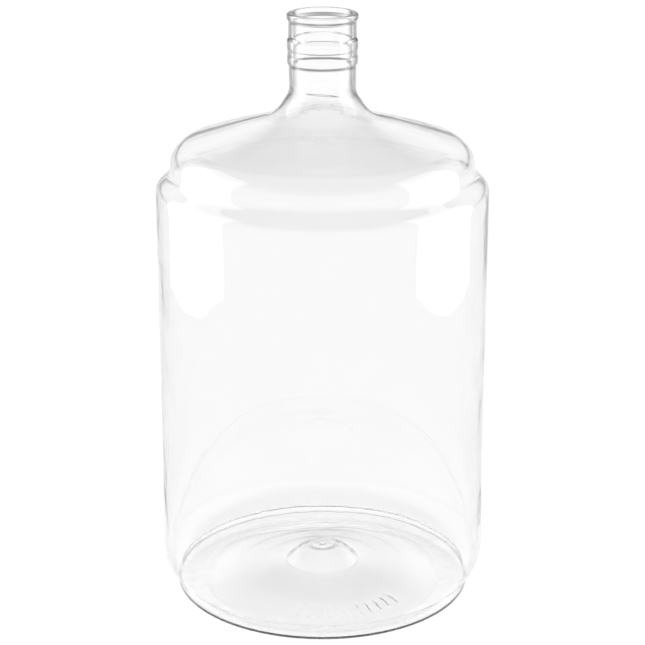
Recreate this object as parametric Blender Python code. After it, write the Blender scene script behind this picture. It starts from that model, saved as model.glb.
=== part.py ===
"""Clear blow-moulded carboy for five US gallons, built as one turned wall.

The origin is the centre of the plane that the foot ring stands on, and +Z runs up the axis
through the open mouth. Lengths are in millimetres; MM turns them into metres.
"""

import math

import bpy

MM = 0.001

# Driving dimensions of the outer skin
HEIGHT = 475.5
BODY_RADIUS = 131.9
HEEL_RADIUS = 133.4
SHOULDER_RADIUS = 120.1
NECK_RADIUS = 25.6
BORE_RADIUS = 23.0

# Wall thickness of each stretch
BODY_WALL = 1.3
SHOULDER_WALL = 1.6
ROOT_WALL = 2.3
BASE_WALL = 1.5
GATE_WALL = 3.0

# Foot ring, the notch above it and the inner edge of the standing face
FOOT_RADIUS = 121.6
FOOT_FACE_TOP = 5.6
FOOT_INNER_RADIUS = 98.0
NOTCH_RADIUS = 118.2
NOTCH_HEIGHT = 8.5

# Heights where neighbouring straight stretches of the body and shoulder meet
HEEL_HEIGHT = 17.1
TAPER_TOP = 110.0
BEAD_HEIGHT = 339.6
CREASE_HEIGHT = 349.6
SHOULDER_HEIGHT = 370.1
ROOT_HEIGHT = 395.3
NECK_FOOT_HEIGHT = 413.9
ROOT_RADIUS = 38.3

# Neck band and lip bead
BAND_RADIUS = 27.3
BAND_BOTTOM = 433.8
BAND_TOP = 456.6
UPPER_NECK_RADIUS = 26.2
MID_NECK_RADIUS = 26.0
LIP_RADIUS = 27.65
LIP_BOTTOM = 468.4
FLANK = 3.0

# Domed centre of the base, with the round pad over the moulding gate
DOME_RADIUS = 29.0
DOME_FOOT_HEIGHT = 11.8
DOME_RISE = 12.8
INNER_DOME_RADIUS = 30.5
PAD_RADIUS = 10.8
PAD_RISE = 0.5

# Smoothness of the turned wall
TURN_STEPS = 48
ARC_STEP = math.radians(24.0)
DOME_STEPS = 4


def clear_scene():
    """Remove whatever objects the open scene holds."""
    for old in list(bpy.data.objects):
        bpy.data.objects.remove(old, do_unlink=True)


def direction(start, end):
    """Unit vector from one outline point towards another."""
    length = math.dist(start[:2], end[:2])
    return ((end[0] - start[0]) / length, (end[1] - start[1]) / length)


def cross(first, second):
    """Z component of the cross product of two flat vectors."""
    return first[0] * second[1] - first[1] * second[0]


def fillet(before, corner, after):
    """Arc that rounds a corner (radius, height, fillet) between two straight stretches."""
    back = direction(corner, before)
    forward = direction(corner, after)
    turn = math.pi - math.acos(back[0] * forward[0] + back[1] * forward[1])
    to_centre = direction((0.0, 0.0), (back[0] + forward[0], back[1] + forward[1]))
    distance = corner[2] / math.cos(turn / 2)
    centre = (corner[0] + to_centre[0] * distance, corner[1] + to_centre[1] * distance)
    reach = corner[2] * math.tan(turn / 2)
    start = direction(centre, (corner[0] + back[0] * reach, corner[1] + back[1] * reach))
    sweep = math.copysign(turn, cross(forward, back))
    steps = max(1, round(turn / ARC_STEP))
    first_angle = math.atan2(start[1], start[0])
    angles = [first_angle + sweep * step / steps for step in range(steps + 1)]
    return [(centre[0] + corner[2] * math.cos(a), centre[1] + corner[2] * math.sin(a)) for a in angles]


def rounded(corners):
    """Outline through the corners, with every fillet drawn as an arc."""
    outline = [corners[0][:2]]
    for before, corner, after in zip(corners, corners[1:], corners[2:]):
        outline += fillet(before, corner, after) if corner[2] else [corner[:2]]
    return outline + [corners[-1][:2]]


def neck_corners():
    """Outer corners of the lip bead and the neck band, from the mouth down."""
    return [
        (LIP_RADIUS, HEIGHT, 2.0),
        (LIP_RADIUS, LIP_BOTTOM + FLANK, 1.6),
        (UPPER_NECK_RADIUS, LIP_BOTTOM, 1.0),
        (UPPER_NECK_RADIUS, BAND_TOP, 0.8),
        (BAND_RADIUS, BAND_TOP - FLANK, 1.0),
        (BAND_RADIUS, BAND_BOTTOM + FLANK, 1.0),
        (MID_NECK_RADIUS, BAND_BOTTOM, 0.8),
    ]


def shell_corners():
    """Outer corners from the neck root down to the edge of the base cone."""
    return [
        (NECK_RADIUS, NECK_FOOT_HEIGHT, 14.0),
        (ROOT_RADIUS, ROOT_HEIGHT, 24.0),
        (SHOULDER_RADIUS, SHOULDER_HEIGHT, 20.0),
        (SHOULDER_RADIUS, CREASE_HEIGHT, 11.0),
        (BODY_RADIUS, BEAD_HEIGHT, 12.0),
        (BODY_RADIUS, TAPER_TOP, 0.0),
        (HEEL_RADIUS, HEEL_HEIGHT, 27.0),
        (NOTCH_RADIUS, NOTCH_HEIGHT, 0.8),
        (FOOT_RADIUS, FOOT_FACE_TOP, 2.2),
        (FOOT_RADIUS, 0.0, 0.6),
        (FOOT_INNER_RADIUS, 0.0, 8.0),
    ]


def wall_stretches():
    """Wall of each straight stretch between the shell's corners, with the neck's first."""
    body_stretches = len(shell_corners()) - 3
    return [NECK_RADIUS - BORE_RADIUS, ROOT_WALL, SHOULDER_WALL] + [BODY_WALL] * body_stretches + [BASE_WALL]


def inner_corner(before, corner, after, wall_before, wall_after):
    """Corner of the inner skin. The outer skin runs downwards, so the wall lies on its right."""
    first = direction(before, corner)
    second = direction(corner, after)
    first_start = (before[0] + first[1] * wall_before, before[1] - first[0] * wall_before)
    second_start = (corner[0] + second[1] * wall_after, corner[1] - second[0] * wall_after)
    gap = (second_start[0] - first_start[0], second_start[1] - first_start[1])
    turn = cross(first, second)
    along = cross(gap, second) / turn
    wall = max(wall_before, wall_after)
    radius = corner[2] + math.copysign(wall, turn) if corner[2] else 0.0
    return (first_start[0] + first[0] * along, first_start[1] + first[1] * along, max(radius, 0.0))


def dome(foot_radius, foot_height, rise, last_radius=0.0):
    """Arc of the domed base, from its foot to the radius where it stops."""
    sphere = (foot_radius ** 2 + rise ** 2) / (2 * rise)
    centre_height = foot_height + rise - sphere
    first_angle = math.asin(foot_radius / sphere)
    last_angle = math.asin(last_radius / sphere)
    angles = [first_angle + (last_angle - first_angle) * step / DOME_STEPS for step in range(DOME_STEPS + 1)]
    return [(sphere * math.sin(a), centre_height + sphere * math.cos(a)) for a in angles]


def outer_outline():
    """Outer skin from the mouth down the side and under the base to the axis."""
    mouth = (BORE_RADIUS, HEIGHT, 0.8)
    dome_foot = (DOME_RADIUS, DOME_FOOT_HEIGHT, 0.0)
    corners = [(BORE_RADIUS, HEIGHT - FLANK, 0.0), mouth] + neck_corners() + shell_corners() + [dome_foot]
    underside = dome(DOME_RADIUS, DOME_FOOT_HEIGHT, DOME_RISE)
    return rounded(corners) + underside[1:]


def inner_outline():
    """Inner skin from the bore down the side and over the base to the axis."""
    outer = [(NECK_RADIUS, BAND_BOTTOM, 0.0)] + shell_corners() + [(DOME_RADIUS, DOME_FOOT_HEIGHT, 0.0)]
    walls = wall_stretches()
    corners = [
        inner_corner(*trio, *pair)
        for trio, pair in zip(zip(outer, outer[1:], outer[2:]), zip(walls, walls[1:]))
    ]
    slope = DOME_FOOT_HEIGHT / (FOOT_INNER_RADIUS - DOME_RADIUS)
    foot_height = slope * (FOOT_INNER_RADIUS - INNER_DOME_RADIUS) + BASE_WALL * math.hypot(1.0, slope)
    apex = DOME_FOOT_HEIGHT + DOME_RISE + GATE_WALL
    over_dome = dome(INNER_DOME_RADIUS, foot_height, apex - foot_height, PAD_RADIUS)
    pad_height = over_dome[-1][1] + PAD_RISE
    pad = [(PAD_RADIUS, pad_height), (0.0, pad_height)]
    bore_top = (BORE_RADIUS, HEIGHT - FLANK, 0.0)
    return rounded([bore_top] + corners + [(*over_dome[0], 0.0)])[1:] + over_dome[1:] + pad


def turned(name, outline):
    """Object made by turning an outline (radius, height) once round the Z axis."""
    mesh = bpy.data.meshes.new(name)
    points = [(radius * MM, 0.0, height * MM) for radius, height in outline]
    edges = [(index, index + 1) for index in range(len(points) - 1)]
    mesh.from_pydata(points, edges, [])
    piece = bpy.data.objects.new(name, mesh)
    bpy.context.collection.objects.link(piece)
    screw = piece.modifiers.new("turn", "SCREW")
    screw.axis = "Z"
    screw.angle = math.tau
    screw.steps = TURN_STEPS
    screw.render_steps = TURN_STEPS
    screw.use_merge_vertices = True
    screw.merge_threshold = 0.00001
    screw.use_smooth_shade = True
    return piece


def clear_plastic():
    """Water-clear moulded plastic."""
    material = bpy.data.materials.new("clear_plastic")
    material.use_nodes = True
    shader = material.node_tree.nodes["Principled BSDF"]
    shader.inputs["Base Color"].default_value = (0.95, 0.96, 0.96, 1.0)
    shader.inputs["Roughness"].default_value = 0.03
    shader.inputs["Metallic"].default_value = 0.0
    shader.inputs["IOR"].default_value = 1.57
    shader.inputs["Transmission Weight"].default_value = 1.0
    return material


def main():
    """Build the carboy."""
    clear_scene()
    profile = list(reversed(inner_outline())) + outer_outline()
    bottle = turned("carboy_bottle", profile)
    bottle.data.materials.append(clear_plastic())


main()
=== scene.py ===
import math
import bpy
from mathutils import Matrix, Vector


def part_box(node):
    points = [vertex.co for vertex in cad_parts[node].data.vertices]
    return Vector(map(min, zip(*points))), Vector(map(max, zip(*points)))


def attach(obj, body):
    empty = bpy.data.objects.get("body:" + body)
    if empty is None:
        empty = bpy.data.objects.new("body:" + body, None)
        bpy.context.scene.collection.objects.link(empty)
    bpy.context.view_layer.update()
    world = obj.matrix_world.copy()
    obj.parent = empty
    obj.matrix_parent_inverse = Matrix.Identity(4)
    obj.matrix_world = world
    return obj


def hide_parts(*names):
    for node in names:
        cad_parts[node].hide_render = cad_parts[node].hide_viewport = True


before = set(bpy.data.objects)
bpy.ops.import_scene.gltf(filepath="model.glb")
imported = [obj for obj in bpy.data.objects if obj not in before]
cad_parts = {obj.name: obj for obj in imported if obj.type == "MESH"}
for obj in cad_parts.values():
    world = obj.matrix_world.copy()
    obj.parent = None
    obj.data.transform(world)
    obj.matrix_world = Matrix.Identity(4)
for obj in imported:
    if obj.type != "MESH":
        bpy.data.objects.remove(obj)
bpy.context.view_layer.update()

# Lengths of the moulding are in millimetres, and MM turns them into metres.
MM = 0.001
NODE = "carboy_bottle"

# Overall size, read from the frame
low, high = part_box(NODE)
HEIGHT = (high[2] - low[2]) / MM

# Radii of the outer skin, and of the bore
BODY_RADIUS = 131.9
HEEL_RADIUS = 133.4
SHOULDER_RADIUS = 120.1
NECK_RADIUS = 25.6
MID_NECK_RADIUS = 26.0
UPPER_NECK_RADIUS = 26.2
BORE_RADIUS = 23.0

# Wall thickness of each stretch
BODY_WALL = 1.3
SHOULDER_WALL = 1.6
ROOT_WALL = 2.3
BASE_WALL = 1.5
GATE_WALL = 3.0

# Foot ring, the notch above it and the inner edge of the standing face
FOOT_RADIUS = 121.6
FOOT_FACE_TOP = 5.6
FOOT_INNER_RADIUS = 98.0
NOTCH_RADIUS = 118.2
NOTCH_HEIGHT = 8.5

# Heights where neighbouring straight stretches of the body and shoulder meet
HEEL_HEIGHT = 17.1
TAPER_TOP = 110.0
BEAD_HEIGHT = 339.6
CREASE_HEIGHT = 349.6
SHOULDER_HEIGHT = 370.1
ROOT_HEIGHT = 395.3
NECK_FOOT_HEIGHT = 413.9
ROOT_RADIUS = 38.3

# Neck band with its two beads and the groove between them, and the lip bead
BAND_TOP_RADIUS = 27.45
BAND_GROOVE_RADIUS = 26.95
BAND_LOW_RADIUS = 27.3
BAND_BOTTOM = 433.8
GROOVE_BOTTOM = 442.6
GROOVE_TOP = 447.0
BAND_TOP = 456.6
BAND_TOP_FLANK = 2.0
GROOVE_FLANK = 1.0
LIP_RADIUS = 27.65
LIP_BOTTOM = 468.4
FLANK = 3.0

# Domed centre of the base, with the round pad over the moulding gate and the gate's nub below
DOME_RADIUS = 29.0
DOME_FOOT_HEIGHT = 11.8
DOME_RISE = 12.8
DOME_FILLET = 2.5
INNER_DOME_RADIUS = 30.5
PAD_RADIUS = 10.8
PAD_RISE = 0.5
NUB_RADIUS = 2.2
NUB_LENGTH = 1.1

# Rounded rim of the pad: how far in from its edge each point is, and how far below its top
PAD_RIM = ((0.5, 0.12), (1.2, 0.0))

# Rounded end of the nub: share of its radius at each point, and how far that is past its length
NUB_END = ((0.8, 0.0), (0.5, 0.1), (0.0, 0.15))

# Rounder inner skin behind the foot ring: radius, height and fillet of each corner. These corners take
# the places of the notch and of the two after it, and NOTCH_PLACE is the notch's place in shell_corners
NOTCH_PLACE = 7
INNER_FOOT = ((117.0, 8.1, 2.6), (120.3, 4.9, 1.6), (120.3, 1.4, 1.6))

# Faint steps in the underside of the base: radius and height of each, and how wide each rises
BASE_STEPS = ((71.0, 0.10), (50.0, 0.08))
STEP_WIDTH = 4.0

# Short ribs raised under the base, between two angles round from the front, in degrees
RIB_FIRST = -14.0
RIB_LAST = 46.0
RIB_SPACING = 6.0
RIB_WIDTH = 2.6
RIB_HEIGHT = 0.65
RIB_INNER = 72.0
RIB_OUTER = 87.0
RIB_END = 1.5

# Parting line of the mould, one at each side: its height and width, and how far outside the bore it ends
SEAM_HEIGHT = 0.14
SEAM_WIDTH = 0.45
SEAM_STOP = 1.0

# Slow waves in the inner skin: their depth, and each wave's count round the wall, the height in which it
# turns by a radian, its phase and its share
WAVE_DEPTH = 0.07
WAVES = ((3.0, 31.0, 0.0, 1.0), (5.0, -19.0, 1.3, 1.0), (8.0, 47.0, 4.0, 0.6), (2.0, 11.0, 0.0, 0.5))

# Uneven step in the inner skin at the foot of the neck. It slants and swings as it goes round, is full
# only in front, within a reach in radians, and runs out down to the neck's root
NECK_STEP_HEIGHT = 415.0
NECK_STEP_DEPTH = 0.95
NECK_STEP_SLANT = 3.0
NECK_STEP_SWING = 0.7
NECK_STEP_SWINGS = 3.0
NECK_STEP_PHASE = 1.0
NECK_STEP_LEAST = 0.1
NECK_STEP_REACH = 0.8
NECK_STEP_SOFTNESS = 1.6
NECK_STEP_RUN_OUT = 12.0

# Smoothness of the turned wall: the step round a fillet, the longest stretches in general, on the base and
# neck, and near the neck's step, and turns in degrees in general, at the ribs and near a parting line.
# DOME_CLEAR is the first point of a dome's arc that is clear of the fillet at its foot
DOME_CLEAR = 2
ARC_STEP = math.radians(8.0)
LONGEST_STRETCH = 14.0
BASE_STRETCH = 2.5
STEP_STRETCH = 0.6
STEP_ZONE = 5.0
COARSE_TURN = 2.75
RIB_TURN = 0.75
SEAM_TURN = 0.2
SEAM_ZONE = 1.2

# Clear plastic: how it bends and absorbs light, and the painted shade on its wall and on its thick neck,
# from where it is seen face on to where it is seen edge on. This grey stands in for the dark outlines of
# refraction
PLASTIC_IOR = 1.57
ABSORB_COLOR = (0.0, 0.06, 0.05, 1.0)
ABSORB_DENSITY = 6.0
FACING_BLEND = 0.5
EDGE_PAINTED_SHADE = ((0.30, 0.97), (0.50, 0.962), (0.60, 0.945), (0.80, 0.86), (0.92, 0.56), (0.99, 0.24))
NECK_PAINTED_SHADE = ((0.42, 1.0), (0.53, 0.60), (0.64, 0.18), (0.80, 0.10), (0.98, 0.04))

# Share of that painted edge shade on level surfaces, which are told by the Z of the normal, and at the foot
LEVEL_SHADE_SHARE = 0.8
LEVEL_FIRST = 0.45
LEVEL_FULL = 0.9
FOOT_SHADE_SHARE = 0.1

# Painted shade in the base's thick centre, a darker disc standing in for the shade seen through the domed
# base:
# where it fades out, how high it reaches, over what height it ends there, and its grey
BASE_SHADE_INNER = 55.0
BASE_SHADE_OUTER = 92.0
BASE_SHADE_TOP = 10.0
BASE_SHADE_FADE = 4.0
BASE_SHADE_GREY = 0.92

# Finish of the plastic: roughness plain and where it stands, and the depth of its unevenness. A scale is
# how many features there are in a metre
PLAIN_ROUGHNESS = 0.02
SCUFF_ROUGHNESS = 0.35
SCUFF_TOP = 2.5
SCUFF_SCALE = 160.0
SCUFF_DETAIL = 3.0
BUMP_STRENGTH = 0.25
BUMP_DEPTH = 0.6
BUMP_SCALE = 42.0
BUMP_DETAIL = 2.0

# Camera: metres and degrees
CAMERA_DISTANCE = 1.5092
CAMERA_HEIGHT = 0.7427
CAMERA_PITCH = 19.0
CAMERA_LENS = 109.76
SENSOR_WIDTH = 36.0

# Soft boxes, in metres: the place of each, the point it is aimed at, and its width and height
LEFT_BOX = ((-0.617, 0.012, 0.54), (0.0, -0.06, 0.54), (0.64, 0.92))
RIGHT_BOX = ((0.630, -0.045, 0.54), (0.0, -0.03, 0.54), (0.60, 0.92))

# Brightness of each light and of the pale surroundings, and the width in degrees of the overhead light
LEFT_BRIGHTNESS = 1.7
RIGHT_BRIGHTNESS = 1.55
TOP_BRIGHTNESS = 0.80
OVERHEAD_SPREAD = 60.0
SKY_STRENGTH = 1.06

# Floor: its grey and roughness, and in metres where it starts to fade into the pale surroundings, where it
# ends, and how far it lies below the foot
FLOOR_GREY = 0.9
FLOOR_ROUGHNESS = 0.9
FLOOR_REACH = 2.8
FLOOR_RADIUS = 6.0
FLOOR_DROP = 0.0005
FLOOR_SIDES = 96

# Surroundings: brightness by elevation in degrees, behind the camera and then further back. The others say
# how far back they start and are full, as the Y of a unit vector
CAMERA_SKY = ((3.0, 0.85), (14.0, 0.80), (30.0, 0.40), (50.0, 0.06))
SIDE_SKY = ((3.0, 0.85), (19.0, 0.90), (30.0, 0.85), (44.0, 0.08))
SIDE_SKY_DEPTH = (-0.75, -0.1)
BACK_SKY = (
    (-0.5, 0.90), (0.7, 0.22), (4.5, 0.25), (7.5, 0.85), (20.0, 1.0), (27.0, 0.80), (36.0, 0.06)
)
BACK_SKY_DEPTH = (0.5, 0.85)

# Bounces that light may make through clear walls, and those off glossy or fully transparent ones
CLEAR_BOUNCES = 32
MIRROR_BOUNCES = 16


def direction(start, end):
    """Unit vector from one outline point towards another."""
    length = math.dist(start[:2], end[:2])
    return ((end[0] - start[0]) / length, (end[1] - start[1]) / length)


def cross(first, second):
    """Z component of the cross product of two flat vectors."""
    return first[0] * second[1] - first[1] * second[0]


def fillet(before, corner, after):
    """Arc that rounds a corner (radius, height, fillet) between two straight stretches."""
    back = direction(corner, before)
    forward = direction(corner, after)
    turn = math.pi - math.acos(back[0] * forward[0] + back[1] * forward[1])
    to_centre = direction((0.0, 0.0), (back[0] + forward[0], back[1] + forward[1]))
    distance = corner[2] / math.cos(turn / 2)
    centre = (corner[0] + to_centre[0] * distance, corner[1] + to_centre[1] * distance)
    reach = corner[2] * math.tan(turn / 2)
    start = direction(centre, (corner[0] + back[0] * reach, corner[1] + back[1] * reach))
    sweep = math.copysign(turn, cross(forward, back))
    steps = max(2, round(turn / ARC_STEP))
    first_angle = math.atan2(start[1], start[0])
    angles = [first_angle + sweep * step / steps for step in range(steps + 1)]
    return [(centre[0] + corner[2] * math.cos(a), centre[1] + corner[2] * math.sin(a)) for a in angles]


def rounded(corners):
    """Outline through the corners, with every fillet drawn as an arc."""
    outline = [corners[0][:2]]
    for before, corner, after in zip(corners, corners[1:], corners[2:]):
        outline += fillet(before, corner, after) if corner[2] else [corner[:2]]
    return outline + [corners[-1][:2]]


def evenly(outline):
    """The outline with its long stretches cut up, finer on the base and neck, finest at the neck's step."""
    points = [outline[0]]
    for start, end in zip(outline, outline[1:]):
        on_base = max(start[0], end[0]) <= FOOT_INNER_RADIUS and max(start[1], end[1]) < TAPER_TOP
        on_neck = max(start[0], end[0]) <= ROOT_RADIUS and min(start[1], end[1]) > SHOULDER_HEIGHT
        longest = BASE_STRETCH if on_base or on_neck else LONGEST_STRETCH
        if on_neck and abs(max(start[1], end[1]) - NECK_STEP_HEIGHT) < STEP_ZONE:
            longest = STEP_STRETCH
        parts = max(1, math.ceil(math.dist(start, end) / longest))
        for part in range(1, parts + 1):
            share = part / parts
            points.append((start[0] + (end[0] - start[0]) * share, start[1] + (end[1] - start[1]) * share))
    return points


def neck_corners():
    """Outer corners of the lip bead and the neck band, from the mouth down."""
    return [
        (LIP_RADIUS, HEIGHT, 2.0),
        (LIP_RADIUS, LIP_BOTTOM + FLANK, 1.6),
        (UPPER_NECK_RADIUS, LIP_BOTTOM, 1.0),
        (UPPER_NECK_RADIUS, BAND_TOP, 0.8),
        (BAND_TOP_RADIUS, BAND_TOP - BAND_TOP_FLANK, 1.0),
        (BAND_TOP_RADIUS, GROOVE_TOP + GROOVE_FLANK, 0.9),
        (BAND_GROOVE_RADIUS, GROOVE_TOP, 0.9),
        (BAND_GROOVE_RADIUS, GROOVE_BOTTOM, 0.9),
        (BAND_LOW_RADIUS, GROOVE_BOTTOM - GROOVE_FLANK, 0.9),
        (BAND_LOW_RADIUS, BAND_BOTTOM + FLANK, 1.0),
        (MID_NECK_RADIUS, BAND_BOTTOM, 0.8),
    ]


def shell_corners():
    """Outer corners from the neck root down to the edge of the base cone."""
    return [
        (NECK_RADIUS, NECK_FOOT_HEIGHT, 14.0),
        (ROOT_RADIUS, ROOT_HEIGHT, 24.0),
        (SHOULDER_RADIUS, SHOULDER_HEIGHT, 20.0),
        (SHOULDER_RADIUS, CREASE_HEIGHT, 11.0),
        (BODY_RADIUS, BEAD_HEIGHT, 12.0),
        (BODY_RADIUS, TAPER_TOP, 600.0),
        (HEEL_RADIUS, HEEL_HEIGHT, 27.0),
        (NOTCH_RADIUS, NOTCH_HEIGHT, 0.8),
        (FOOT_RADIUS, FOOT_FACE_TOP, 2.2),
        (FOOT_RADIUS, 0.0, 0.6),
        (FOOT_INNER_RADIUS, 0.0, 8.0),
    ]


def wall_stretches():
    """Wall of each straight stretch between the shell's corners, with the neck's first."""
    above = [NECK_RADIUS - BORE_RADIUS, ROOT_WALL, SHOULDER_WALL]
    stretches = len(shell_corners()) + 1
    return above + [BODY_WALL] * (stretches - len(above) - 1) + [BASE_WALL]


def inner_corner(before, corner, after, wall_before, wall_after):
    """Corner of the inner skin. The outer skin runs downwards, so the wall lies on its right."""
    first = direction(before, corner)
    second = direction(corner, after)
    first_start = (before[0] + first[1] * wall_before, before[1] - first[0] * wall_before)
    second_start = (corner[0] + second[1] * wall_after, corner[1] - second[0] * wall_after)
    gap = (second_start[0] - first_start[0], second_start[1] - first_start[1])
    turn = cross(first, second)
    along = cross(gap, second) / turn
    wall = max(wall_before, wall_after)
    radius = corner[2] + math.copysign(wall, turn) if corner[2] else 0.0
    return (first_start[0] + first[0] * along, first_start[1] + first[1] * along, max(radius, 0.0))


def dome(foot_radius, foot_height, rise, last_radius=0.0):
    """Arc of the domed base, from its foot to the radius where it stops."""
    sphere = (foot_radius ** 2 + rise ** 2) / (2 * rise)
    centre_height = foot_height + rise - sphere
    first_angle = math.asin(foot_radius / sphere)
    last_angle = math.asin(last_radius / sphere)
    steps = max(2, round((first_angle - last_angle) / ARC_STEP))
    angles = [first_angle + (last_angle - first_angle) * step / steps for step in range(steps + 1)]
    return [(sphere * math.sin(a), centre_height + sphere * math.cos(a)) for a in angles]


def outer_outline():
    """Outer skin from the mouth down the side and under the base to the axis."""
    mouth = (BORE_RADIUS, HEIGHT, 0.8)
    dome_foot = (DOME_RADIUS, DOME_FOOT_HEIGHT, DOME_FILLET)
    underside = dome(DOME_RADIUS, DOME_FOOT_HEIGHT, DOME_RISE, NUB_RADIUS)
    corners = [(BORE_RADIUS, HEIGHT - FLANK, 0.0), mouth] + neck_corners() + shell_corners()
    corners += [dome_foot, (*underside[DOME_CLEAR], 0.0)]
    nub_height = underside[-1][1] - NUB_LENGTH
    nub = [(NUB_RADIUS * share, nub_height - past) for share, past in NUB_END]
    return evenly(rounded(corners) + underside[DOME_CLEAR + 1:] + nub)


def inner_outline():
    """Inner skin from the bore down the side and over the base to the axis."""
    outer = [(NECK_RADIUS, BAND_BOTTOM, 0.0)] + shell_corners() + [(DOME_RADIUS, DOME_FOOT_HEIGHT, 0.0)]
    walls = wall_stretches()
    corners = [
        inner_corner(*trio, *pair)
        for trio, pair in zip(zip(outer, outer[1:], outer[2:]), zip(walls, walls[1:]))
    ]
    corners[NOTCH_PLACE:NOTCH_PLACE + len(INNER_FOOT)] = INNER_FOOT
    slope = DOME_FOOT_HEIGHT / (FOOT_INNER_RADIUS - DOME_RADIUS)
    foot_height = slope * (FOOT_INNER_RADIUS - INNER_DOME_RADIUS) + BASE_WALL * math.hypot(1.0, slope)
    apex = DOME_FOOT_HEIGHT + DOME_RISE + GATE_WALL
    over_dome = dome(INNER_DOME_RADIUS, foot_height, apex - foot_height, PAD_RADIUS)
    pad_height = over_dome[-1][1] + PAD_RISE
    foot = (INNER_DOME_RADIUS, foot_height, DOME_FILLET)
    corners = [(BORE_RADIUS, HEIGHT - FLANK, 0.0)] + corners + [foot, (*over_dome[DOME_CLEAR], 0.0)]
    pad = [(PAD_RADIUS - inward, pad_height - drop) for inward, drop in PAD_RIM] + [(0.0, pad_height)]
    return evenly(rounded(corners) + over_dome[DOME_CLEAR + 1:] + pad)[1:]


def ease(value):
    """Smooth rise from 0 to 1 as the value goes from 0 to 1."""
    value = min(max(value, 0.0), 1.0)
    return value * value * (3.0 - 2.0 * value)


def hump(distance, width):
    """Rounded ridge, 1 at its middle and 0 beyond its width."""
    return ease(1.0 - abs(distance) / width)


def from_front(turn):
    """Turn in degrees, measured instead from the front towards the right, from -180 to 180."""
    return (turn + 270.0) % 360.0 - 180.0


def from_seam(turn):
    """Turn in degrees, measured instead from the nearer parting line, from -90 to 90."""
    return (turn + 90.0) % 180.0 - 90.0


def ribs(radius, angle):
    """Height of the raised ribs at one place under the base."""
    turn = from_front(math.degrees(angle))
    nearest = RIB_FIRST + RIB_SPACING * round((turn - RIB_FIRST) / RIB_SPACING)
    if nearest < RIB_FIRST or nearest > RIB_LAST:
        return 0.0
    across = hump(math.radians(turn - nearest) * radius, RIB_WIDTH)
    along = ease((radius - RIB_INNER) / RIB_END) * ease((RIB_OUTER - radius) / RIB_END)
    return RIB_HEIGHT * across * along


def underside_relief(radius, height, angle):
    """Outer skin under the base, with its steps and ribs."""
    for step_radius, step_height in BASE_STEPS:
        height += step_height * ease((step_radius - radius) / STEP_WIDTH + 0.5)
    return radius, height - ribs(radius, angle)


def side_relief(radius, height, angle):
    """Outer skin of the side, with the mould's parting lines."""
    across = math.radians(from_seam(math.degrees(angle))) * radius
    return radius + SEAM_HEIGHT * hump(across, SEAM_WIDTH), height


def inner_relief(radius, height, angle):
    """Inner skin of the side, with slow waves and the uneven step at the foot of the neck."""
    wave = 0.0
    for count, rise, phase, share in WAVES:
        wave += share * math.sin(count * angle + height / rise + phase)
    calm = ease((radius - ROOT_RADIUS) / ROOT_RADIUS) * ease((height - HEEL_HEIGHT) / TAPER_TOP)
    turn = math.radians(from_front(math.degrees(angle)))
    step = NECK_STEP_HEIGHT - NECK_STEP_SLANT * math.sin(turn)
    step += NECK_STEP_SWING * math.sin(NECK_STEP_SWINGS * turn + NECK_STEP_PHASE)
    below = NECK_STEP_LEAST + (1.0 - NECK_STEP_LEAST) * hump(turn, NECK_STEP_REACH)
    below *= ease((step - height) / NECK_STEP_SOFTNESS + 0.5)
    below *= ease((height - ROOT_HEIGHT) / NECK_STEP_RUN_OUT)
    return radius + WAVE_DEPTH * wave * calm + NECK_STEP_DEPTH * below, height


def turn_angles():
    """Angles of the turned wall's edges, closest together at the ribs and the parting lines."""
    angles = []
    turn = 0.0
    while turn < 360.0 - SEAM_TURN / 2:
        angles.append(math.radians(turn))
        if abs(from_seam(turn)) < SEAM_ZONE - SEAM_TURN / 2:
            turn += SEAM_TURN
        elif RIB_FIRST - COARSE_TURN <= from_front(turn) <= RIB_LAST + RIB_TURN:
            turn += RIB_TURN
        else:
            turn += min(COARSE_TURN, max(180.0 - SEAM_ZONE - turn % 180.0, SEAM_TURN))
    return angles


def shaped(radius, height, angle, inner):
    """One point of a skin after its relief, in metres."""
    if inner:
        radius, height = inner_relief(radius, height, angle)
    elif height < DOME_FOOT_HEIGHT + DOME_RISE and radius < FOOT_INNER_RADIUS:
        radius, height = underside_relief(radius, height, angle)
    elif radius > BORE_RADIUS + SEAM_STOP and height > HEEL_HEIGHT:
        radius, height = side_relief(radius, height, angle)
    return radius * MM * math.cos(angle), radius * MM * math.sin(angle), height * MM


def turned(name, inner, outer):
    """Closed mesh object made by turning the two skins, which meet at the mouth and end on the axis."""
    rings = [(*point, True) for point in reversed(inner[:-1])] + [(*point, False) for point in outer[:-1]]
    angles = turn_angles()
    count = len(angles)
    points = [(0.0, 0.0, inner[-1][1] * MM)]
    for radius, height, is_inner in rings:
        points += [shaped(radius, height, angle, is_inner) for angle in angles]
    last = len(points)
    axis_height = outer[-1][1] + sum(step_height for _, step_height in BASE_STEPS)
    points.append((0.0, 0.0, axis_height * MM))
    faces = []
    for segment in range(count):
        following = (segment + 1) % count
        faces.append((0, 1 + segment, 1 + following))
        for ring in range(len(rings) - 1):
            here = 1 + ring * count
            below = here + count
            faces.append((here + segment, below + segment, below + following, here + following))
        here = last - count
        faces.append((last, here + following, here + segment))
    mesh = bpy.data.meshes.new(name)
    mesh.from_pydata(points, [], faces)
    mesh.shade_smooth()
    piece = bpy.data.objects.new(name, mesh)
    bpy.context.collection.objects.link(piece)
    return piece


def ramp(nodes, links, name, value, stops):
    """Grey by a value, through a colour ramp whose stops are each a position and a brightness."""
    node = nodes.new("ShaderNodeValToRGB")
    node.label = name
    for position, brightness in stops:
        stop = node.color_ramp.elements.new(position)
        stop.color = (brightness, brightness, brightness, 1.0)
    node.color_ramp.elements.remove(node.color_ramp.elements[0])
    node.color_ramp.elements.remove(node.color_ramp.elements[-1])
    links.new(value, node.inputs["Fac"])
    return node.outputs["Color"]


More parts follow.
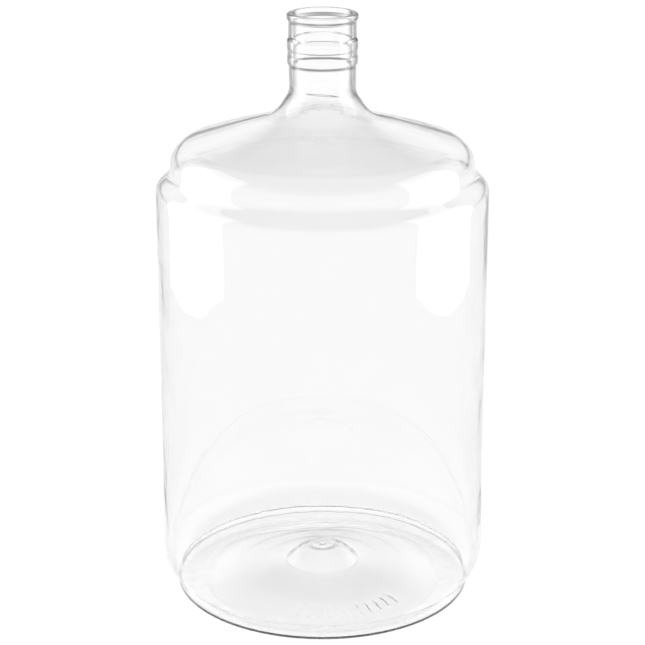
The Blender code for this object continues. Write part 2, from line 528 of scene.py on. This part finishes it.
def noise(nodes, links, place, scale, detail):
    """Noise texture over the object, with its features 1 / scale metres across."""
    node = nodes.new("ShaderNodeTexNoise")
    node.inputs["Scale"].default_value = scale
    node.inputs["Detail"].default_value = detail
    links.new(place, node.inputs["Vector"])
    return node.outputs["Fac"]


def between(nodes, links, value, first, last, at_first, at_last):
    """Number that goes smoothly from one amount to another as the value goes from first to last."""
    node = nodes.new("ShaderNodeMapRange")
    node.interpolation_type = "SMOOTHSTEP"
    node.inputs["From Min"].default_value = first
    node.inputs["From Max"].default_value = last
    node.inputs["To Min"].default_value = at_first
    node.inputs["To Max"].default_value = at_last
    links.new(value, node.inputs["Value"])
    return node.outputs["Result"]


def blended(nodes, links, kind, share, first, second):
    """Mix of two colours, of the given kind, by a share."""
    node = nodes.new("ShaderNodeMixRGB")
    node.blend_type = kind
    links.new(share, node.inputs["Fac"])
    links.new(first, node.inputs["Color1"])
    links.new(second, node.inputs["Color2"])
    return node.outputs["Color"]


def product(nodes, links, first, second):
    """Two numbers multiplied."""
    node = nodes.new("ShaderNodeMath")
    node.operation = "MULTIPLY"
    links.new(first, node.inputs[0])
    links.new(second, node.inputs[1])
    return node.outputs[0]


def separate(nodes, links, vector):
    """X, Y and Z of a vector, as outputs."""
    node = nodes.new("ShaderNodeSeparateXYZ")
    links.new(vector, node.inputs[0])
    return node.outputs


def length_of(nodes, links, vector):
    """Length of a vector."""
    node = nodes.new("ShaderNodeVectorMath")
    node.operation = "LENGTH"
    links.new(vector, node.inputs[0])
    return node.outputs["Value"]


def painted_edge_shade(nodes, links, height):
    """Painted shade, grey by the angle the plastic is seen at: deeper edge on, deepest in the thick neck.
    """
    # Painted shade: the plastic's colour turns grey where it is seen edge on
    angle = nodes.new("ShaderNodeLayerWeight")
    angle.inputs["Blend"].default_value = FACING_BLEND
    wall = ramp(nodes, links, "edge of the wall", angle.outputs["Facing"], EDGE_PAINTED_SHADE)
    neck = ramp(nodes, links, "edge of the neck", angle.outputs["Facing"], NECK_PAINTED_SHADE)
    up = between(nodes, links, height, ROOT_HEIGHT * MM, NECK_FOOT_HEIGHT * MM, 0.0, 1.0)
    return blended(nodes, links, "MIX", up, wall, neck)


def edge_shade_share(nodes, links, height):
    """Share of the painted edge shade that shows, less on level surfaces and least at the foot."""
    level = nodes.new("ShaderNodeMath")
    level.operation = "ABSOLUTE"
    normal = nodes.new("ShaderNodeNewGeometry").outputs["Normal"]
    links.new(separate(nodes, links, normal)["Z"], level.inputs[0])
    upright = between(nodes, links, level.outputs[0], LEVEL_FIRST, LEVEL_FULL, 1.0, LEVEL_SHADE_SHARE)
    above = between(nodes, links, height, FOOT_FACE_TOP * MM, TAPER_TOP * MM, FOOT_SHADE_SHARE, 1.0)
    return product(nodes, links, upright, above)


def painted_shade(nodes, links, place, height):
    """Painted shade on the plastic, darker at its edges and in the centre of its base."""
    white = nodes.new("ShaderNodeRGB").outputs[0]
    white.default_value = (1.0, 1.0, 1.0, 1.0)
    share = edge_shade_share(nodes, links, height)
    edge = blended(nodes, links, "MIX", share, white, painted_edge_shade(nodes, links, height))
    flat = nodes.new("ShaderNodeVectorMath")
    flat.operation = "MULTIPLY"
    flat.inputs[1].default_value = (1.0, 1.0, 0.0)
    links.new(place, flat.inputs[0])
    reach = length_of(nodes, links, flat.outputs["Vector"])
    # Painted shade: a darker disc in the thick centre of the base
    base_shade = between(nodes, links, reach, BASE_SHADE_INNER * MM, BASE_SHADE_OUTER * MM, BASE_SHADE_GREY, 1.0)
    beneath = between(nodes, links, height, BASE_SHADE_TOP * MM, (BASE_SHADE_TOP + BASE_SHADE_FADE) * MM, 1.0, 0.0)
    return blended(nodes, links, "MULTIPLY", beneath, edge, base_shade)


def clear_plastic():
    """Clear moulded plastic, faintly uneven, scuffed where it stands, and with painted shade in its colour.
    """
    material = bpy.data.materials.new("clear_plastic")
    material.use_nodes = True
    nodes = material.node_tree.nodes
    links = material.node_tree.links
    shader = nodes["Principled BSDF"]
    shader.inputs["IOR"].default_value = PLASTIC_IOR
    shader.inputs["Transmission Weight"].default_value = 1.0
    absorb = nodes.new("ShaderNodeVolumeAbsorption")
    absorb.inputs["Color"].default_value = ABSORB_COLOR
    absorb.inputs["Density"].default_value = ABSORB_DENSITY
    links.new(absorb.outputs["Volume"], nodes["Material Output"].inputs["Volume"])
    place = nodes.new("ShaderNodeTexCoord").outputs["Object"]
    height = separate(nodes, links, place)["Z"]
    # The base colour carries painted shade at the edges and in the base's centre
    links.new(painted_shade(nodes, links, place, height), shader.inputs["Base Color"])
    scuff = between(nodes, links, height, SCUFF_TOP * MM, 0.0, PLAIN_ROUGHNESS, SCUFF_ROUGHNESS)
    worn = noise(nodes, links, place, SCUFF_SCALE, SCUFF_DETAIL)
    links.new(product(nodes, links, scuff, worn), shader.inputs["Roughness"])
    bump = nodes.new("ShaderNodeBump")
    bump.inputs["Strength"].default_value = BUMP_STRENGTH
    bump.inputs["Distance"].default_value = BUMP_DEPTH * MM
    links.new(noise(nodes, links, place, BUMP_SCALE, BUMP_DETAIL), bump.inputs["Height"])
    links.new(bump.outputs["Normal"], shader.inputs["Normal"])
    return material


def white_floor():
    """Plain pale floor, which fades into the pale surroundings far from the bottle."""
    material = bpy.data.materials.new("floor_white")
    material.use_nodes = True
    nodes = material.node_tree.nodes
    links = material.node_tree.links
    shader = nodes["Principled BSDF"]
    shader.inputs["Base Color"].default_value = (FLOOR_GREY, FLOOR_GREY, FLOOR_GREY, 1.0)
    shader.inputs["Roughness"].default_value = FLOOR_ROUGHNESS
    shader.inputs["Specular IOR Level"].default_value = 0.0
    reach = length_of(nodes, links, nodes.new("ShaderNodeTexCoord").outputs["Object"])
    kept = between(nodes, links, reach, FLOOR_REACH, FLOOR_RADIUS, 1.0, 0.0)
    links.new(kept, shader.inputs["Alpha"])
    bpy.ops.mesh.primitive_circle_add(
        vertices=FLOOR_SIDES, radius=FLOOR_RADIUS, fill_type="NGON", location=(0.0, 0.0, -FLOOR_DROP)
    )
    floor = bpy.context.object
    floor.name = "floor"
    floor.data.materials.append(material)


def hidden_lamp(name, data):
    """Lamp that isn't seen by the camera or through the bottle."""
    lamp = bpy.data.objects.new(name, data)
    lamp.visible_camera = False
    lamp.visible_transmission = False
    bpy.context.collection.objects.link(lamp)
    return lamp


def soft_box(name, place, aim, size, brightness):
    """Soft box that lights no floor, a rectangle of even white light aimed at a point."""
    data = bpy.data.lights.new(name, "AREA")
    data.shape = "RECTANGLE"
    data.size, data.size_y = size
    data.energy = brightness * math.pi * size[0] * size[1]
    lamp = hidden_lamp(name, data)
    lamp.location = place
    lamp.rotation_euler = (Vector(aim) - Vector(place)).to_track_quat("-Z", "Y").to_euler()
    lamp.visible_diffuse = False


def overhead():
    """Wide even light from straight above that shows in no reflection."""
    data = bpy.data.lights.new("overhead", "SUN")
    data.angle = math.radians(OVERHEAD_SPREAD)
    data.energy = TOP_BRIGHTNESS * math.pi
    hidden_lamp("overhead", data).visible_glossy = False


def studio():
    """Soft boxes to the left and right for the bottle, and the overhead light for the floor."""
    soft_box("soft_box_left", *LEFT_BOX, LEFT_BRIGHTNESS)
    soft_box("soft_box_right", *RIGHT_BOX, RIGHT_BRIGHTNESS)
    overhead()


def heights(bands):
    """Bands given by elevation in degrees, turned into the height of a unit vector."""
    return [(math.sin(math.radians(elevation)), brightness) for elevation, brightness in bands]


def sky():
    """Pale surroundings, dim overhead, with a low grey strip behind the bottle."""
    world = bpy.data.worlds.new("studio")
    world.use_nodes = True
    nodes = world.node_tree.nodes
    links = world.node_tree.links
    way = separate(nodes, links, nodes.new("ShaderNodeTexCoord").outputs["Generated"])
    color = ramp(nodes, links, "behind the camera", way["Z"], heights(CAMERA_SKY))
    further = (("sides", SIDE_SKY, SIDE_SKY_DEPTH), ("behind the bottle", BACK_SKY, BACK_SKY_DEPTH))
    for name, bands, depth in further:
        part = ramp(nodes, links, name, way["Z"], heights(bands))
        share = between(nodes, links, way["Y"], *depth, 0.0, 1.0)
        color = blended(nodes, links, "MIX", share, color, part)
    links.new(color, nodes["Background"].inputs["Color"])
    nodes["Background"].inputs["Strength"].default_value = SKY_STRENGTH
    bpy.context.scene.world = world


def camera():
    """Camera in front of the bottle, above it and looking down at it."""
    data = bpy.data.cameras.new("camera")
    data.lens = CAMERA_LENS
    data.sensor_width = SENSOR_WIDTH
    view = bpy.data.objects.new("camera", data)
    view.location = (0.0, -CAMERA_DISTANCE, CAMERA_HEIGHT)
    view.rotation_euler = (math.radians(90.0 - CAMERA_PITCH), 0.0, 0.0)
    bpy.context.collection.objects.link(view)
    bpy.context.scene.camera = view


camera()
studio()
sky()
white_floor()
bottle = turned("bottle_shell", inner_outline(), outer_outline())
bottle.data.materials.append(clear_plastic())
bottle.visible_shadow = False
bottle.visible_diffuse = False
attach(bottle, "root")
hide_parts(NODE)

scene = bpy.context.scene
scene.view_settings.view_transform = "Standard"
scene.cycles.max_bounces = CLEAR_BOUNCES
scene.cycles.transmission_bounces = CLEAR_BOUNCES
scene.cycles.glossy_bounces = MIRROR_BOUNCES
scene.cycles.transparent_max_bounces = MIRROR_BOUNCES
